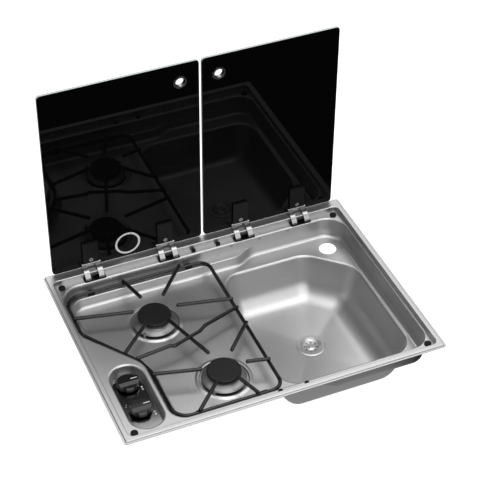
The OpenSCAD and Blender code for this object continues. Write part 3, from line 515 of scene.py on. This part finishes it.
def pressed_bowl(bm):
    """The seen face from the lip to the drain, then the back of the sheet the other way."""
    rings = []
    for under in (0.0, SHEET):
        face = [[(p.x, p.y, z) for p in bowl_outline(deep)] for deep, z in bowl_section(under)]
        foot, drain = face[-1], bowl_drain_ring(DRAIN[2] - under)
        for k in range(1, FLOOR_ROWS + 1):
            face.append([tuple(a + (b - a) * k / FLOOR_ROWS for a, b in zip(p, q))
                         for p, q in zip(foot, drain)])
        rings += face if under == 0.0 else face[::-1]
    skin(bm, [[bm.verts.new(point(*p)) for p in ring] for ring in rings])


bowl = solid("pressed_bowl", pressed_bowl,
             FINISHES["pressed_steel"], "worktop_unit")
smooth(bowl)
bowl.data.set_sharp_from_angle(angle=math.radians(40))
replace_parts(bowl, "sink_bowl")


# ---------------------------------------------------------------- pan support
ENAMEL = 0.5  # thickness of the coat on the wires, in mm
WIRE_WELD = 1e-6  # joins the wires' split edges, in metres


def enamelled(name):
    """A wire node under its coat of enamel, thicker by it all round."""
    bm = bmesh.new()
    bm.from_mesh(NODES[name].data)
    bmesh.ops.remove_doubles(bm, verts=bm.verts, dist=WIRE_WELD)
    bm.normal_update()
    for vert in bm.verts:
        vert.co += vert.normal * ENAMEL * MM
    mesh = bpy.data.meshes.new(name + "_wire")
    bm.to_mesh(mesh)
    bm.free()
    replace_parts(new_object(name + "_wire", mesh, FINISHES["black_enamel"], "pan_support"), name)


for name in ("pan_support_frame", "pan_support_fingers", "pan_support_crossbar"):
    enamelled(name)


# ---------------------------------------------------------------- burner rings
def turned_ring(bm, x, y, section, steps=96):
    """A closed section of (radius, height) turned round the upright axis at x, y."""
    rows = []
    for k in range(steps):
        a = 2 * math.pi * k / steps
        rows.append([bm.verts.new(point(x + r * math.cos(a), y + r * math.sin(a), z))
                     for r, z in section])
    skin(bm, rows)


BURNERS = {"rear": (-133.9, 82.9), "front": (-71.6, -96.7)}
# A black rubber gasket under each burner cup. It is partly painted shade: its black also stands in
# for the shadow in the gap between the cup and the hob floor.
GASKET_AND_GAP_SHADE = [(35.7, -57.2), (39.2, -57.2), (39.8, -56.6), (39.6, -53.6), (39.0, -53.1), (35.7, -53.1)]
DISH_RING = [(43.6, -57.28), (43.9, -54.2), (44.6, -53.4), (45.8, -52.9), (47.0, -52.9),
             (48.2, -53.3), (51.6, -54.72), (52.6, -54.95), (52.7, -57.28)]
for word, (x, y) in BURNERS.items():
    solid(f"{word}_burner_gasket_and_gap_shade", lambda bm, x=x, y=y: turned_ring(bm, x, y, GASKET_AND_GAP_SHADE),
          FINISHES["black_rubber"], "worktop_unit")
    smooth(solid(f"{word}_dish_ring", lambda bm, x=x, y=y: turned_ring(bm, x, y, DISH_RING),
                 FINISHES["pressed_steel"], "worktop_unit"))


# ---------------------------------------------------------------- repeats by geometry nodes
CIRCLE = "GeometryNodeCurvePrimitiveCircle"


def repeat_tree(name, build, sizes):
    """A geometry tree with named size inputs; build(tree, given) returns the geometry socket."""
    tree = bpy.data.node_groups.new(name, "GeometryNodeTree")
    for key, kind in (("Geometry", "NodeSocketGeometry"), ("Material", "NodeSocketMaterial")):
        tree.interface.new_socket(name=key, in_out="INPUT", socket_type=kind)
    for key, value in sizes.items():
        kind = "NodeSocketInt" if isinstance(value, int) else "NodeSocketFloat"
        socket = tree.interface.new_socket(name=key, in_out="INPUT", socket_type=kind)
        socket.default_value = value
    tree.interface.new_socket(name="Geometry", in_out="OUTPUT", socket_type="NodeSocketGeometry")
    group_in = tree.nodes.new("NodeGroupInput")
    group_out = tree.nodes.new("NodeGroupOutput")
    tree.links.new(build(tree, group_in.outputs), group_out.inputs[0])
    return tree


def made(tree, kind, inputs, **settings):
    """The first output of a new node."""
    return add_node(tree, kind, settings, inputs).outputs[0]


def copied(tree, given, points, piece):
    """The piece on every point, made real, in the material handed in."""
    copies = made(tree, "GeometryNodeInstanceOnPoints", {"Points": points, "Instance": piece})
    real = made(tree, "GeometryNodeRealizeInstances", {0: copies})
    return made(tree, "GeometryNodeSetMaterial",
                {"Geometry": real, "Material": given["Material"]})


def ring_rows(tree, given):
    """Rounded ridges round the Z axis, one under the other."""
    step = made(tree, "ShaderNodeCombineXYZ", {"Z": given["Pitch"]})
    rows = made(tree, "GeometryNodeMeshLine", {"Count": given["Count"], "Offset": step},
                mode="OFFSET")
    path = made(tree, CIRCLE, {"Resolution": 64, "Radius": given["Radius"]})
    section = made(tree, CIRCLE, {"Resolution": 8, "Radius": given["Ridge"]})
    ridge = made(tree, "GeometryNodeCurveToMesh", {"Curve": path, "Profile Curve": section})
    return copied(tree, given, rows, ridge)


def ribs_round(tree, given):
    """Upright ribs evenly round the Z axis."""
    path = made(tree, CIRCLE, {"Radius": given["Radius"]})
    posts = made(tree, "GeometryNodeCurveToPoints", {"Curve": path, "Count": given["Count"]},
                 mode="COUNT")
    rib = made(tree, "GeometryNodeMeshCylinder",
               {"Vertices": 10, "Radius": given["Ridge"], "Depth": given["Height"]})
    return copied(tree, given, posts, rib)


def dots_on_points(tree, given):
    """A low printed dot or ring on each seed point."""
    path = made(tree, CIRCLE, {"Resolution": 32, "Radius": given["Radius"]})
    flat = made(tree, "GeometryNodeCurvePrimitiveQuadrilateral",
                {"Width": given["Line"], "Height": given["Height"]})
    dot = made(tree, "GeometryNodeCurveToMesh", {"Curve": path, "Profile Curve": flat})
    return copied(tree, given, given["Geometry"], dot)


def grown(name, tree, sizes, material, body, seeds=(), origin=(0, 0, 0)):
    """Runs a geometry tree once on the seed points and keeps its plain mesh, moved to origin."""
    start = bpy.data.meshes.new(name + "_seeds")
    start.from_pydata([tuple(p) for p in seeds], [], [])
    host = bpy.data.objects.new(name + "_host", start)
    bpy.context.scene.collection.objects.link(host)
    modifier = host.modifiers.new("repeat", "NODES")
    modifier.node_group = tree
    given = {**sizes, "Material": material}
    for item in tree.interface.items_tree:
        if item.item_type == "SOCKET" and item.in_out == "INPUT" and item.name in given:
            modifier[item.identifier] = given[item.name]
    bpy.context.view_layer.update()
    seen = host.evaluated_get(bpy.context.evaluated_depsgraph_get())
    mesh = bpy.data.meshes.new_from_object(seen)
    host.modifiers.clear()
    bpy.data.objects.remove(host)
    mesh.transform(Matrix.Translation(origin))
    mesh.name = name
    bm = bmesh.new()
    bm.from_mesh(mesh)
    store(bm, mesh)
    return new_object(name, mesh, material, body)


RINGS = repeat_tree("ring_rows", ring_rows,
                    {"Count": 3, "Pitch": 0.006, "Radius": 0.014, "Ridge": 0.0008})
RIBS = repeat_tree("ribs_round", ribs_round,
                   {"Count": 36, "Radius": 0.03, "Ridge": 0.001, "Height": 0.014})
DOTS = repeat_tree("dots_on_points", dots_on_points,
                   {"Radius": 0.001, "Line": 0.0006, "Height": 0.00008})


def waste_ribs(name, tree, sizes, drop):
    """Black plastic ridges round the waste, drop mm under the drain."""
    grown(name, tree, sizes, FINISHES["black_plastic"], "worktop_unit",
          origin=point(DRAIN[0], DRAIN[1], DRAIN[2] - drop))


waste_ribs("waste_tail_barbs", RINGS,
           {"Count": 3, "Pitch": -6.5 * MM, "Radius": 14.0 * MM, "Ridge": 0.75 * MM}, 36)
waste_ribs("waste_nut_ribs", RIBS,
           {"Count": 36, "Radius": 29.9 * MM, "Ridge": 0.9 * MM, "Height": 15 * MM}, 14)

MARK_Z = -28.97  # the middle of a printed mark, just over the face of the knob panel
INK = 0.09  # thickness of a printed mark


def panel_marks(name, radius, line, places):
    """White marks at (x, y) off a knob: rings line mm wide, or dots once line is twice radius."""
    grown(name, DOTS, {"Radius": radius * MM, "Line": line * MM, "Height": INK * MM},
          PRINT, "worktop_unit",
          [point(KNOB_X + x, KNOBS[word] + y, MARK_Z) for word, x, y in places])


# Setting marks: a ring and a dot on each knob's right, a small dot and a small ring on its left.
panel_marks("panel_rings", 1.55, 0.75, [("rear", 21.4, -16.5), ("front", 21.4, -10.5)])
panel_marks("panel_dots", 0.9, 1.8, [("rear", 21.4, -10.5), ("front", 21.4, -16.5)])
panel_marks("panel_off_marks", 0.45, 0.9, [(word, -20.2, 17.0) for word in KNOBS])
panel_marks("panel_low_marks", 0.8, 0.35, [(word, -18.0, 21.5) for word in KNOBS])

# ---------------------------------------------------------------- floor and light
FLOOR_Z = cad_low.z - 0.0004
FLOOR_CORNERS = [(-8, -8, FLOOR_Z), (8, -8, FLOOR_Z), (8, 8, FLOOR_Z), (-8, 8, FLOOR_Z)]
floor_mesh = bpy.data.meshes.new("floor")
floor_mesh.from_pydata(FLOOR_CORNERS, [], [(0, 1, 2, 3)])
floor = bpy.data.objects.new("floor", floor_mesh)
bpy.context.scene.collection.objects.link(floor)
floor.visible_glossy = False
floor.visible_diffuse = False
floor_mesh.materials.append(finish("pale_floor", pale_floor))

# The steel sees a faint sky, brighter behind the part and bright overhead, and next to nothing
# below the horizon; the camera sees plain white.
SKY, SKY_BEHIND, SKY_OVERHEAD, SKY_BELOW, WHITE = 0.05, 0.25, 1.9, 0.004, 1.05
world = bpy.data.worlds.new("studio")
bpy.context.scene.world = world
world.use_nodes = True
sky = Sheet(world.node_tree)
aim = sky.add("ShaderNodeTexCoord", output="Generated")
height = sky.add("ShaderNodeSeparateXYZ", {}, {0: aim}, 2)
behind = sky.add("ShaderNodeSeparateXYZ", {}, {0: aim}, 1).between(0.0, 0.6)
upper = height.between(0.0, 0.35) * (SKY + behind * SKY_BEHIND)
dome = upper + height.between(0.78, 1.0) * SKY_OVERHEAD + SKY_BELOW
glow = sky.add("ShaderNodeBackground", {}, {"Color": (1, 1, 1, 1), "Strength": dome})
plain = sky.add("ShaderNodeBackground", {}, {"Color": (1, 1, 1, 1), "Strength": WHITE})
seen_by = sky.add("ShaderNodeLightPath", output="Is Camera Ray")
mixed = sky.add("ShaderNodeMixShader", {}, {0: seen_by, 1: glow, 2: plain})
sky.add("ShaderNodeOutputWorld", {}, {"Surface": mixed})


def softbox(name, place, width, depth, power, aim_at=(0, 0, 0)):
    """A rectangular light, sizes in metres and power in watts."""
    light = bpy.data.lights.new(name, "AREA")
    light.shape, light.size, light.size_y, light.energy = "RECTANGLE", width, depth, power
    lamp = bpy.data.objects.new(name, light)
    bpy.context.scene.collection.objects.link(lamp)
    lamp.location = place
    lamp.rotation_euler = (Vector(aim_at) - Vector(place)).to_track_quat("-Z", "Y").to_euler()
    return lamp


softbox("overhead_softbox", (0.9, 0.3, 2.2), 1.4, 1.8, 12)
softbox("near_softbox", (0.1, -0.9, 2.3), 2.4, 1.2, 9)
softbox("back_softbox", (0.35, 1.75, 2.0), 2.0, 1.2, 13)
softbox("front_softbox", (0.1, -2.6, 1.5), 3.2, 3.0, 54)
softbox("left_softbox", (-2.3, 0.0, 1.0), 1.6, 1.4, 6)
softbox("right_softbox", (2.3, 0.0, 1.0), 1.6, 1.4, 5)
# A card on the floor under the front half, facing up: the floor itself lights nothing, and
# without the card the underside would be black.
card = softbox("front_card", (0.01, -0.12, FLOOR_Z + 0.002), 0.58, 0.50, 0.37, (0.01, -0.12, 1.0))
card.visible_camera = False
bpy.context.scene.view_settings.view_transform = "Standard"
bpy.context.scene.view_settings.look = "None"
